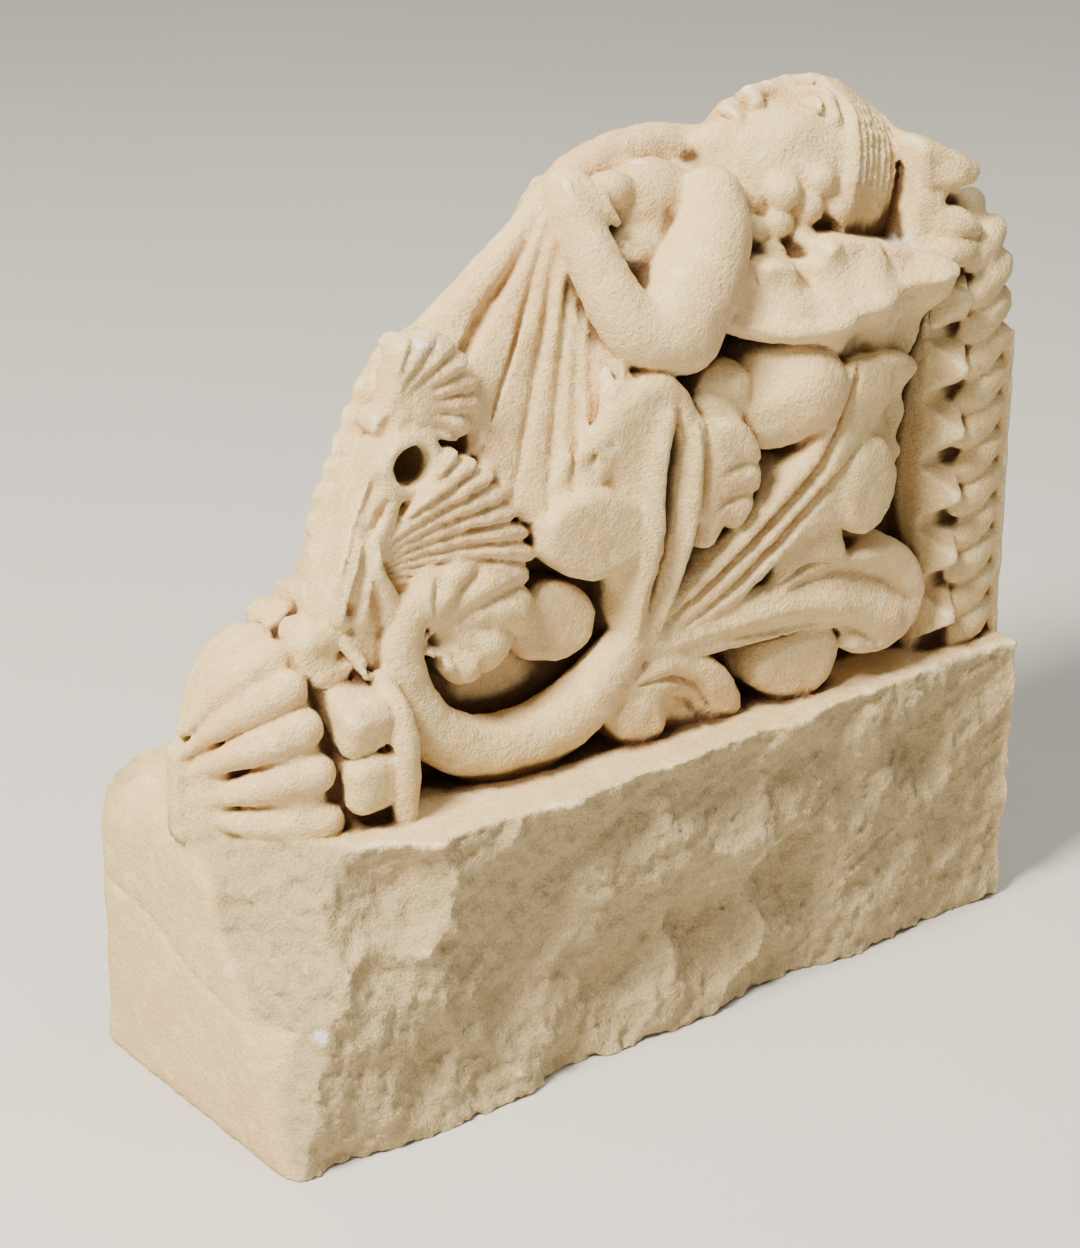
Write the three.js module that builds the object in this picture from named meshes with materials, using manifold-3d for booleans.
// A carved sandstone corbel, set down on the end of its rough tail.
// The tail is the block that was built into the wall. The carving stands out from the wall face, which is
// the ledge on top of the tail: a ribbed bud, a collar of petals, scrolling leaves, and a half figure that
// holds a gathered cloth, under an abacus with nailheads and a cable moulding.
// Millimetres, +Z up. X runs from the bud to the top bed of the corbel, Y across its thickness.
// The origin is the middle of the underside.
import * as THREE from "three";
import { ConvexGeometry } from "three/addons/geometries/ConvexGeometry.js";
import { mergeVertices } from "three/addons/utils/BufferGeometryUtils.js";
import Module from "manifold-3d";

// Driving dimensions
const stoneLength = 420;
const stoneThickness = 150;
const tailHeight = 139;
const carvingHeight = 272;

// The tail as it broke
const flankHollow = 8;
const flankBulge = 5;
const edgeWear = 12;
const cornerBreak = 72;
const crackHeight = 65;

// The abacus
const abacusDepth = 46;
const abacusHeight = 216;
const abacusInset = 11;
const abacusCorner = 34;
const ropeRadius = 12;
const ropePitch = 16.5;
const filletWidth = 5;
const nailheadPitch = 29;
const nailheadWidth = 20;
const nailheadRise = 9;

// The drilled eye of the upper leaf
const eyeRadius = 10.5;
const eyeDepth = 14;

const acrossStone = new THREE.Vector3(0, 1, 0);
const alongStone = new THREE.Vector3(1, 0, 0);

const wasm = await Module();
wasm.setup();

// The carving is set out in hundredths: along is a share of half the length, across of half the thickness,
// and up of the carving's height above the ledge. Radii are hundredths of that height.
const share = carvingHeight / 100;

function at(along, across, up) {
  const x = (along / 100) * (stoneLength / 2);
  const y = (across / 100) * (stoneThickness / 2);
  return new THREE.Vector3(x, y, tailHeight + up * share);
}

// The leaves lie on a flank that narrows towards the bud. sunk is how far a point lies behind that flank.
function onFlank(along, up, sunk = 0) {
  const middleWidth = 68;
  const fullWidth = 88;
  const taper = 0.43;
  return at(along, sunk - Math.min(middleWidth + taper * along, fullWidth), up);
}

function solid(geometry) {
  const bare = new THREE.BufferGeometry().setAttribute("position", geometry.getAttribute("position"));
  if (geometry.index) bare.setIndex(geometry.index);
  const merged = mergeVertices(bare, 1e-3);
  const mesh = new wasm.Mesh({
    numProp: 3,
    vertProperties: new Float32Array(merged.attributes.position.array),
    triVerts: new Uint32Array(merged.index.array),
  });
  return new wasm.Manifold(mesh);
}

function mirrored(geometry) {
  const copy = mergeVertices(geometry.clone().deleteAttribute("normal").deleteAttribute("uv"), 1e-3);
  copy.scale(1, -1, 1);
  const index = copy.index.array;
  for (let i = 0; i < index.length; i += 3) [index[i], index[i + 1]] = [index[i + 1], index[i]];
  return copy;
}

// What is carved on the near flank is carved again, mirrored and more plainly, on the far one.
const fullDetail = { sides: 6, rings: 5, lobeSides: 7, lobeRings: 5, fanRibs: 6 };
const plainDetail = { sides: 4, rings: 4, lobeSides: 5, lobeRings: 4, fanRibs: 4 };
const onBothFlanks = (carve) => [...carve(fullDetail), ...carve(plainDetail).map(mirrored)];

function moveVertices(geometry, move) {
  const position = geometry.getAttribute("position");
  const vertex = new THREE.Vector3();
  for (let i = 0; i < position.count; i++) {
    const moved = move(vertex.fromBufferAttribute(position, i));
    position.setXYZ(i, moved.x, moved.y, moved.z);
  }
  return geometry;
}

function valueAlong(values, run) {
  const place = run * (values.length - 1);
  const first = Math.min(Math.floor(place), values.length - 2);
  return THREE.MathUtils.lerp(values[first], values[first + 1], place - first);
}

// A limb is a sphere drawn out along a curve: its poles are the two ends, and each ring takes its own radius.
// depth is the section's thickness along the crossing axis, as a share of its width.
function limb(points, radii, { depth = 1, sides = 6, rings = 5, crossing = acrossStone } = {}) {
  const endFullness = 1.12;
  const path = new THREE.CatmullRomCurve3(points);
  return moveVertices(new THREE.SphereGeometry(1, sides, rings), (vertex) => {
    const run = (1 - vertex.y) / 2;
    const ring = Math.hypot(vertex.x, vertex.z);
    const tangent = path.getTangentAt(run);
    const across = crossing.clone().addScaledVector(tangent, -crossing.dot(tangent)).normalize();
    const side = tangent.clone().cross(across);
    const radius = valueAlong(radii, run) * share * Math.min(1, endFullness * Math.sqrt(ring));
    const reach = ring > 0 ? radius / ring : 0;
    return path
      .getPointAt(run)
      .addScaledVector(across, vertex.x * reach * depth)
      .addScaledVector(side, vertex.z * reach);
  });
}

// A lobe is a flattened ball with radii along, across and up. tilt turns it in the plane of the flank.
function lobe(centre, [along, across, up], tilt = 0, sides = 8, rings = 5) {
  return new THREE.SphereGeometry(1, sides, rings)
    .rotateX(Math.PI / 2)
    .scale(along * share, across * share, up * share)
    .rotateY(THREE.MathUtils.degToRad(-tilt))
    .translate(centre.x, centre.y, centre.z);
}

// A blade is the flat round end of a leaf's lobe, with its rim cut back to the stone behind it.
function blade(centre, [along, thickness, up], tilt, sides) {
  const rimSlope = 0.82;
  return new THREE.CylinderGeometry(1, rimSlope, 1, sides)
    .scale(along * share, thickness * share, up * share)
    .rotateY(THREE.MathUtils.degToRad(-tilt))
    .translate(centre.x, centre.y, centre.z);
}

// A pleated slab: face(u, v) gives its carved side and back(u, v) the side that is buried in the stone.
// u runs to the right and v upwards, as seen from outside.
function pleated(columns, rows, face, back) {
  return moveVertices(new THREE.BoxGeometry(1, 1, 1, columns, rows, 1), ({ x, y, z }) =>
    (z > 0 ? face : back)(x + 0.5, y + 0.5));
}

// The swell of rounded ribs laid side by side: 0 in a groove, 1 on a crown.
const swell = (u, ribs) => Math.abs(Math.sin(Math.PI * ribs * u));

// A fan of ribs about one root, as on a scallop. Angles turn from +X towards +Z, and u follows them down.
function fan({ root, from, to, reach, sunk, rise, thickness }, ribs) {
  const rootLength = 0.14;
  const notch = 0.08;
  const point = (u, v, depth) => {
    const angle = THREE.MathUtils.degToRad(THREE.MathUtils.lerp(from, to, u));
    const scallop = 1 - notch * v * (1 - swell(u, ribs));
    const radius = THREE.MathUtils.lerp(reach[0], reach[1], u) * scallop * share;
    const length = THREE.MathUtils.lerp(rootLength, 1, v) * radius;
    const ray = new THREE.Vector3(Math.cos(angle), 0, Math.sin(angle));
    return onFlank(root[0], root[1], depth).addScaledVector(ray, length);
  };
  const lift = (u, v) => rise * (Math.sin(Math.PI * (0.15 + 0.7 * v)) + 0.8 * v * swell(u, ribs));
  const face = (u, v) => point(u, v, sunk - lift(u, v));
  return pleated(2 * ribs, 2, face, (u, v) => point(u, v, sunk + thickness));
}

// The rough tail, with its dressed ends and underside flat and its two flanks broken away unevenly.
function brokenTail() {
  const block = new THREE.BoxGeometry(stoneLength, stoneThickness, tailHeight, 12, 2, 4);
  return moveVertices(block, (vertex) => {
    const run = vertex.x / stoneLength;
    const rise = vertex.z / tailHeight;
    const onFace = Math.abs(vertex.y) > stoneThickness / 4;
    const onEnd = Math.abs(run) > 0.49;
    if (!onFace || onEnd) return vertex;
    const hand = Math.sign(vertex.y);
    const wave = Math.sin(15 * run + 4 * rise + hand) + 0.5 * Math.sin(9 * run - 5 * rise);
    const swing = wave > 0 ? wave * flankBulge * 0.66 : wave * flankHollow * 0.66;
    vertex.y += hand * swing * (1 - 1.1 * Math.abs(rise));
    return vertex;
  }).translate(0, 0, tailHeight / 2);
}

const hull = (points) => new ConvexGeometry(points.map(([x, y, z]) => new THREE.Vector3(x, y, z)));

// The corner that broke away under the bud: a bevel below the bedding crack and a wide scoop above it.
function cornerBreaks() {
  const end = -stoneLength / 2;
  const side = -stoneThickness / 2 - flankBulge;
  const bevelFoot = crackHeight * 0.35;
  const bevelTop = crackHeight + 3;
  const bevel = cornerBreak * 0.36;
  const scoop = cornerBreak * 0.4;
  const overTop = tailHeight + 1;
  const outside = (height) => [end - cornerBreak, side - cornerBreak, height];
  const corner = (reach, height) => [
    [end + reach, side, height],
    [end + reach, side - cornerBreak, height],
    [end, side + reach, height],
    [end - cornerBreak, side + reach, height],
    outside(height),
  ];
  return [
    hull([[end, side, bevelFoot], outside(bevelFoot), ...corner(bevel, bevelTop)]),
    hull([...corner(scoop, crackHeight), ...corner(cornerBreak, overTop)]),
  ];
}

// The top edge of the tail's end is worn round, most at its far corner.
function endWear() {
  const end = -stoneLength / 2;
  const far = stoneThickness / 2;
  const over = edgeWear * 3;
  const edge = (y, wear) => [
    [end + wear, y, tailHeight],
    [end, y, tailHeight - wear],
    [end - over, y, tailHeight - wear],
    [end - over, y, tailHeight + over],
    [end + wear, y, tailHeight + over],
  ];
  const corner = (height, wear) => [
    [end + wear, far, height],
    [end, far - wear, height],
    [end - over, far - wear, height],
    [end - over, far + over, height],
    [end + wear, far + over, height],
  ];
  return [
    hull([...edge(-stoneThickness, edgeWear * 0.7), ...edge(stoneThickness, edgeWear)]),
    hull([...corner(crackHeight, 1), ...corner(tailHeight + 1, edgeWear * 1.8)]),
  ];
}

// The plain mass behind the leaves, which the drilled hollows run back to.
function backing() {
  const front = [[-76, 10, -4], [-76, 10, 26], [-66, 18, 30], [-55, 8, 58]];
  const ridge = [[-40, 12, 70], [-10, 14, 84], [40, 24, 88]];
  const flank = [[-60, 26, -4], [-30, 38, -4], [-28, 30, 40], [2, 34, 72], [4, 40, -4], [40, 42, 70]];
  const bed = [[84, 54, -4], [84, 42, 74], [84, 30, 82]];
  const corners = [...front, ...ridge, ...flank, ...bed];
  const bothHands = corners.flatMap(([along, across, up]) => [[along, across, up], [along, -across, up]]);
  return hull(bothHands.map((corner) => at(...corner).toArray()));
}

// The bud at the foot of the corbel: ribs that part from a narrow keel, cut flat with the end of the stone.
function bud() {
  const ribs = 9;
  const point = (u, v, foot) => {
    const angle = Math.PI * u;
    const open = Math.sin((Math.PI / 2) * Math.min(1, 0.1 + 1.05 * v));
    const closing = 1 - 0.16 * Math.max(0, v - 0.75) * 4;
    const pleat = (1 - (0.05 + 0.13 * v) * (1 - swell(u, ribs))) * closing;
    const halfWidth = THREE.MathUtils.lerp(4, 46, open) * pleat;
    const height = THREE.MathUtils.lerp(14, 31, open) * pleat;
    return at(-100 + 26 * v, 3 - halfWidth * Math.cos(angle), foot ? -6 : height * Math.sin(angle));
  };
  return pleated(2 * ribs, 4, (u, v) => point(u, 1 - v, false), (u, v) => point(u, 1 - v, true));
}

// The collar behind the bud: an arch of squared blocks with a raised rim on its far edge.
function collar() {
  const blockSize = 8.5 * share;
  const blocks = [0, 45, 90, 135, 180].map((degrees) => {
    const angle = THREE.MathUtils.degToRad(degrees);
    const middle = at(-70, -37 * Math.cos(angle), 6 + 20 * Math.sin(angle));
    return new THREE.BoxGeometry(blockSize, blockSize, blockSize * 1.15)
      .rotateX(angle)
      .translate(middle.x, middle.y, middle.z);
  });
  const rim = [0, 45, 90, 135, 180].map((degrees) => {
    const angle = THREE.MathUtils.degToRad(degrees);
    return at(-64 - 3 * Math.sin(angle), -45 * Math.cos(angle), 34 * Math.sin(angle) - 2);
  });
  return [...blocks, limb(rim, [2.6, 2.6], { sides: 4, rings: 8, crossing: alongStone })];
}

// The upper leaf: a broad stem up the front, a fan, and a rim around the drilled eye.
function palmette({ sides, rings, fanRibs }) {
  const frontRoute = [at(-65, -5, 24), at(-60, -7, 42), at(-54, -8, 56), at(-47, -9, 66)];
  const innerRoute = [onFlank(-63, 24, 12), onFlank(-60, 38, 8), onFlank(-55, 48, 8), onFlank(-50, 53, 8)];
  return [
    limb(frontRoute, [4, 4, 4.4, 4], { sides, rings }),
    limb(innerRoute, [6.4, 6.4, 6, 4], { sides, rings, depth: 0.8 }),
    lobe(onFlank(-51, 55, 9), [6.2, 6, 6.2], 0, 8, 4),
    fan({ root: [-62, 30], from: 62, to: 12, reach: [29, 31], sunk: 12, rise: 8, thickness: 20 }, fanRibs),
  ];
}

// The tip of the upper leaf curls over towards the near flank.
function palmetteTip() {
  return fan({ root: [-53, 61], from: 105, to: -8, reach: [13, 12], sunk: 20, rise: 6, thickness: 14 }, 5);
}

function eyeHole() {
  const mouth = onFlank(-51, 55);
  const drill = new THREE.CylinderGeometry(eyeRadius, eyeRadius, 2 * eyeDepth, 10);
  return [drill.translate(mouth.x, mouth.y, mouth.z)];
}

// The scroll: a stem that sinks from the leaf node, turns under and curls up into a third fan.
function scroll({ sides, rings, lobeSides, lobeRings, fanRibs }) {
  const route = [[1, 20], [-6, 13], [-16, 7], [-30, 4.5], [-43, 8], [-53, 18], [-56, 27], [-52, 35]];
  const stemRoute = route.map(([along, up]) => onFlank(along, up, 6));
  return [
    limb(stemRoute, [5, 6, 6.4, 6.4, 6, 5.4, 4.6], { sides, rings: 2 * rings }),
    fan({ root: [-53, 34], from: 6, to: -72, reach: [24, 15], sunk: 4, rise: 9, thickness: 16 }, fanRibs - 1),
    lobe(onFlank(-16, 22, 12), [6.8, 6, 6.8], 0, lobeSides, lobeRings),
  ];
}

// A leaf lies on the flank: its ribs are limbs, and round blades are the lobes of its edge.
// A rib is a route of [along, up] with its radii. A blade is [along, up, width, height, tilt].
function leaf({ sides, rings, lobeSides }, ribs, blades) {
  const ribSunk = 4;
  const bladeSunk = 12;
  const bladeThickness = 7;
  return [
    ...ribs.map(({ route, radii }) => {
      const points = route.map(([along, up]) => onFlank(along, up, ribSunk));
      return limb(points, radii, { sides, rings, depth: 1.1 });
    }),
    ...blades.map(([along, up, width, height, tilt]) =>
      blade(onFlank(along, up, bladeSunk), [width, bladeThickness, height], tilt, lobeSides + 2)),
  ];
}

function leaves(detail) {
  const { lobeSides, lobeRings } = detail;
  const risingRibs = [
    { route: [[-4, 17], [0, 27], [5, 39], [8, 52]], radii: [3.6, 4, 4, 3.4] },
    { route: [[0, 16], [6, 26], [11, 38], [12, 50]], radii: [2.6, 3, 3, 2.4] },
  ];
  const slantingRibs = [
    { route: [[-3, 17], [14, 28], [35, 39], [57, 51]], radii: [3.4, 4, 4.4, 4.6] },
    { route: [[2, 15], [21, 25], [40, 34], [60, 43]], radii: [3, 3.4, 3.8, 4] },
  ];
  const levelRibs = [{ route: [[-1, 14], [18, 17], [40, 18.5], [62, 15]], radii: [4, 4.6, 4.8, 5] }];
  const footRibs = [{ route: [[-5, 11], [3, 12.5], [14, 10], [23, 1]], radii: [2.6, 3, 3.2, 3.2] }];
  return [
    ...leaf(detail, risingRibs, [[-12, 39, 8.6, 7.8, 20], [2, 53, 12, 7.6, 50], [19, 42, 7.4, 9, -10]]),
    ...leaf(detail, slantingRibs, [[69, 49, 9.6, 7, 25], [61, 35, 7.4, 7.6, 0]]),
    ...leaf(detail, levelRibs, [[47, 25, 7, 7.6, 20], [66, 12, 9.4, 9, 10], [43, 5, 9.4, 6.4, 15]]),
    ...leaf(detail, footRibs, [[-1, 5, 5.6, 4.8, 0], [15, 4, 6.4, 5, 0]]),
    lobe(onFlank(44, 52, 14), [9, 8, 8.4], 30, lobeSides, lobeRings),
    lobe(onFlank(26, 55, 14), [6.4, 7, 6.2], 0, lobeSides, lobeRings),
  ];
}

// The cloth falls in folds from the gathered hands and opens towards the leaves. Its back stays in the stone.
function cloth({ fanRibs: folds }) {
  const foldHeight = 2.5;
  const thickness = 9;
  const curve = (...points) => new THREE.CatmullRomCurve3(points.map((point) => at(...point)));
  const frontHem = [[-38, 0, 70], [-36, -22, 60], [-30, -40, 47]];
  const flankHem = [[-20, -50, 42], [-9, -56, 48], [-3, -56, 60]];
  const hem = curve(...frontHem, ...flankHem);
  const gather = curve([-9, 0, 92], [-8, -12, 91], [-4, -22, 88], [-2, -30, 84]);
  const point = (u, v, depth) => {
    const out = new THREE.Vector3(0.75 * (u - 1), -0.4 - 0.6 * u, 0.4 * (1 - u));
    const lift = (1 - v) * (foldHeight * swell(u, folds) - depth) * share;
    const inwards = (v * depth * share) / 2;
    return hem
      .getPoint(u)
      .lerp(gather.getPoint(u), v)
      .addScaledVector(out, lift)
      .addScaledVector(acrossStone, inwards);
  };
  return [pleated(2 * folds, 2, (u, v) => point(u, v, 0), (u, v) => point(u, v, thickness))];
}

// The half figure: both arms bent at the elbow, the hands gathering the cloth below the chin.
function figure() {
  const forearm = [at(13, -52, 66), at(0, -44, 72), at(-5, -34, 80), at(-6, -20, 90)];
  return [
    limb([at(28, -32, 87), at(20, -46, 77), at(9, -52, 67)], [6.4, 8.4, 8], { sides: 7 }),
    limb(forearm, [7.6, 5.8, 4.6, 4], { sides: 7, rings: 6 }),
    limb([at(40, 24, 90), at(24, 34, 83), at(12, 46, 74)], [6, 7, 7]),
    limb([at(14, 46, 72), at(0, 36, 78), at(-5, 18, 88)], [6.6, 5, 4]),
    limb([at(4, 6, 90), at(20, 14, 91), at(38, 18, 91)], [4, 4.6, 4.6]),
    lobe(at(17, -4, 84), [12, 14, 9]),
    lobe(at(-5, -6, 91), [4.6, 5, 4.4], 0, 6, 4),
    lobe(at(6, -14, 90), [6.4, 5.4, 4.4], 0, 6, 4),
  ];
}

// The head looks straight out from the wall, its crown towards the abacus. The face is calm and plain:
// the eyes are halfway between crown and chin, and the nose and mouth divide what is below them.
function head() {
  const middle = -3;
  const crosswise = { sides: 4, rings: 4, crossing: alongStone };
  const nose = [at(59, middle, 98.6), at(51, middle, 99.4), at(48, middle, 98)];
  const lips = [at(42, middle - 11, 95.4), at(42, middle, 97), at(42, middle + 11, 95.4)];
  const eyeAndBrow = (hand) => [
    lobe(at(57, middle + 17 * hand, 95.8), [2.4, 2.4, 1.8], 0, 6, 4),
    limb(
      [at(60, middle + 6 * hand, 98.4), at(62, middle + 18 * hand, 97.6), at(60, middle + 30 * hand, 94)],
      [1, 1.5, 1.2],
      crosswise,
    ),
  ];
  return [
    lobe(at(58, middle, 86), [17, 14, 13.6], 0, 10, 7),
    lobe(at(42, middle, 88), [9.4, 10.6, 9], 20),
    limb(nose, [1.1, 1.7, 1.6], { sides: 4, rings: 4 }),
    limb(lips, [1, 1.6, 1], crosswise),
    ...eyeAndBrow(1),
    ...eyeAndBrow(-1),
  ];
}

// Combed hair falls from the crown to each side of the head and ends in curls beside the jaw.
function hair({ sides, fanRibs }) {
  const strands = fanRibs - 2;
  const combed = Array.from({ length: strands }, (_, i) => {
    const turn = i / (strands - 1);
    const crown = at(72 + 8 * turn, -2, 98 - 5 * turn);
    const temple = at(70 + 11 * turn, -32, 91 - 9 * turn);
    const nape = at(58 + 17 * turn, -46, 75);
    return limb([crown, temple, nape], [2.6, 4, 3.6], { sides, rings: 4, crossing: alongStone });
  });
  const curls = [[49, -42, 84], [53, -45, 77], [40, -46, 76]];
  return [...combed, ...curls.map((place) => lobe(at(...place), [3.6, 3.6, 3.6], 0, 6, 4))];
}

// The leaves that the head lies between: a shelf of pointed tips on each flank, and a crest by the abacus.
function nest({ sides, rings }) {
  const tips = [
    { route: [[28, -40, 59], [32, -54, 67], [35, -60, 72]], radii: [4, 4, 2] },
    { route: [[34, -40, 59], [42, -56, 67], [50, -64, 73]], radii: [5, 5, 2] },
    { route: [[42, -44, 60], [56, -58, 67], [69, -64, 73]], radii: [6, 6, 2.4] },
    { route: [[46, -46, 58], [68, -62, 61], [86, -60, 69]], radii: [6.6, 6.6, 2.4] },
    { route: [[79, -38, 68], [79, -40, 78], [78, -34, 87]], radii: [6, 6, 3] },
    { route: [[82, -40, 66], [87, -48, 78], [91, -51, 84]], radii: [6, 5.4, 2.6] },
    { route: [[80, -46, 66], [88, -54, 71], [92, -56, 75]], radii: [6, 5.4, 2.6] },
  ];
  return tips.map(({ route, radii }) => limb(route.map((point) => at(...point)), radii, { sides, rings }));
}

function crestMiddle() {
  return limb([at(84, -30, 84), at(88, 0, 88), at(84, 30, 84)], [4, 5, 4], { crossing: alongStone });
}

// The outline of the abacus, seen along X: up one flank, over the top and down the other.
function abacusOutline(inset) {
  const halfWidth = stoneThickness / 2 - abacusInset - inset;
  const top = tailHeight + abacusHeight - inset;
  const corner = abacusCorner - inset;
  const foot = tailHeight - abacusInset;
  return new THREE.Shape()
    .moveTo(-halfWidth, foot)
    .lineTo(halfWidth, foot)
    .lineTo(halfWidth, top - corner)
    .absarc(halfWidth - corner, top - corner, corner, 0, Math.PI / 2)
    .lineTo(corner - halfWidth, top)
    .absarc(corner - halfWidth, top - corner, corner, Math.PI / 2, Math.PI);
}

// A slab of the abacus between two stations measured back from the bed.
function abacusSlab(inset, nearBed, farBed) {
  const standing = new THREE.Matrix4().makeBasis(acrossStone, new THREE.Vector3(0, 0, 1), alongStone);
  const settings = { depth: farBed - nearBed, bevelEnabled: false, curveSegments: 5 };
  return new THREE.ExtrudeGeometry(abacusOutline(inset), settings)
    .applyMatrix4(standing)
    .translate(stoneLength / 2 - farBed, 0, 0);
}

// How far the outline runs from the ledge to the middle of the abacus's top.
function halfRun(inset) {
  const flat = stoneThickness / 2 - abacusInset - abacusCorner;
  const bend = ((abacusCorner - inset) * Math.PI) / 2;
  return abacusHeight - abacusCorner + bend + flat;
}

// A point on the outline, at a distance run from the middle of the top. A positive run goes down the near
// flank and a negative one down the far flank. turn is how far the outline leans over there.
function aroundAbacus(run, inset) {
  const corner = abacusCorner - inset;
  const flat = stoneThickness / 2 - abacusInset - abacusCorner;
  const bend = (corner * Math.PI) / 2;
  const turn = THREE.MathUtils.clamp((Math.abs(run) - flat) / corner, 0, Math.PI / 2);
  const onFlat = Math.min(Math.abs(run), flat);
  const onFlankRun = Math.max(0, Math.abs(run) - flat - bend);
  return {
    y: -Math.sign(run) * (onFlat + corner * Math.sin(turn)),
    z: tailHeight + abacusHeight - abacusCorner + corner * Math.cos(turn) - onFlankRun,
    turn: Math.sign(run) * turn,
  };
}

// The cable moulding: slanted strands laid side by side all the way around the abacus.
function rope() {
  const slant = 0.9 * ropePitch;
  const bed = ropeRadius;
  const strands = 2 * Math.floor(halfRun(0) / ropePitch);
  const middle = stoneLength / 2 - filletWidth - ropeRadius;
  const point = (u, v, inset) => {
    const { y, z } = aroundAbacus((0.5 - u) * strands * ropePitch + (v - 0.5) * slant, inset);
    return new THREE.Vector3(middle + (0.5 - v) * 2 * ropeRadius, y, z);
  };
  const hollow = (u, v) => ropeRadius * (0.08 + 0.26 * (1 - swell(u, strands)) + 0.24 * (2 * v - 1) ** 2);
  return pleated(2 * strands, 2, (u, v) => point(u, v, hollow(u, v)), (u, v) => point(u, v, bed));
}

// The nailheads: low pyramids beside the cable.
function nailheads() {
  const middle = stoneLength / 2 - filletWidth - 2 * ropeRadius - nailheadWidth / 2;
  const count = 2 * Math.floor(halfRun(0) / nailheadPitch);
  return Array.from({ length: count }, (_, i) => {
    const { y, z, turn } = aroundAbacus((i + 0.5 - count / 2) * nailheadPitch, nailheadRise * 0.6);
    return new THREE.ConeGeometry(Math.SQRT1_2, 1, 4)
      .rotateY(Math.PI / 4)
      .scale(nailheadWidth * 1.1, 1.2 * nailheadRise, nailheadPitch * 0.97)
      .rotateX(Math.PI / 2 + turn)
      .translate(middle, y, z);
  });
}

function abacus() {
  const nailheadBed = nailheadRise * 0.75;
  return [
    abacusSlab(0, 0, filletWidth),
    abacusSlab(ropeRadius * 0.7, filletWidth / 2, abacusDepth - filletWidth),
    abacusSlab(nailheadBed, filletWidth + 2 * ropeRadius, abacusDepth),
    rope(),
    ...nailheads(),
  ];
}

function corbel() {
  const mass = [brokenTail(), backing(), bud(), ...collar(), palmetteTip()];
  const crown = [...figure(), ...head(), crestMiddle(), ...abacus()];
  const flanks = [palmette, scroll, leaves, cloth, hair, nest].flatMap(onBothFlanks);
  const beyondEnds = new THREE.BoxGeometry(stoneLength, 2 * stoneThickness, 4 * carvingHeight);
  const cuts = [
    ...cornerBreaks(),
    ...endWear(),
    ...onBothFlanks(eyeHole),
    beyondEnds.clone().translate(stoneLength, 0, 0),
    beyondEnds.clone().translate(-stoneLength, 0, 0),
  ];
  const whole = [...mass, ...crown, ...flanks].map(solid).reduce((stone, piece) => stone.add(piece));
  return cuts.map(solid).reduce((stone, cut) => stone.subtract(cut), whole);
}

function geometryOf(manifold) {
  const mesh = manifold.getMesh();
  const geometry = new THREE.BufferGeometry();
  geometry.setAttribute("position", new THREE.BufferAttribute(mesh.vertProperties, 3));
  geometry.setIndex(new THREE.BufferAttribute(mesh.triVerts, 1));
  geometry.computeVertexNormals();
  return geometry;
}

const sandstone = new THREE.MeshStandardMaterial({ color: 0xd9c49b, roughness: 0.95, metalness: 0 });
const stone = new THREE.Mesh(geometryOf(corbel()), sandstone);
stone.name = "corbel_stone";

const part = new THREE.Group();
part.add(stone);
export default part;
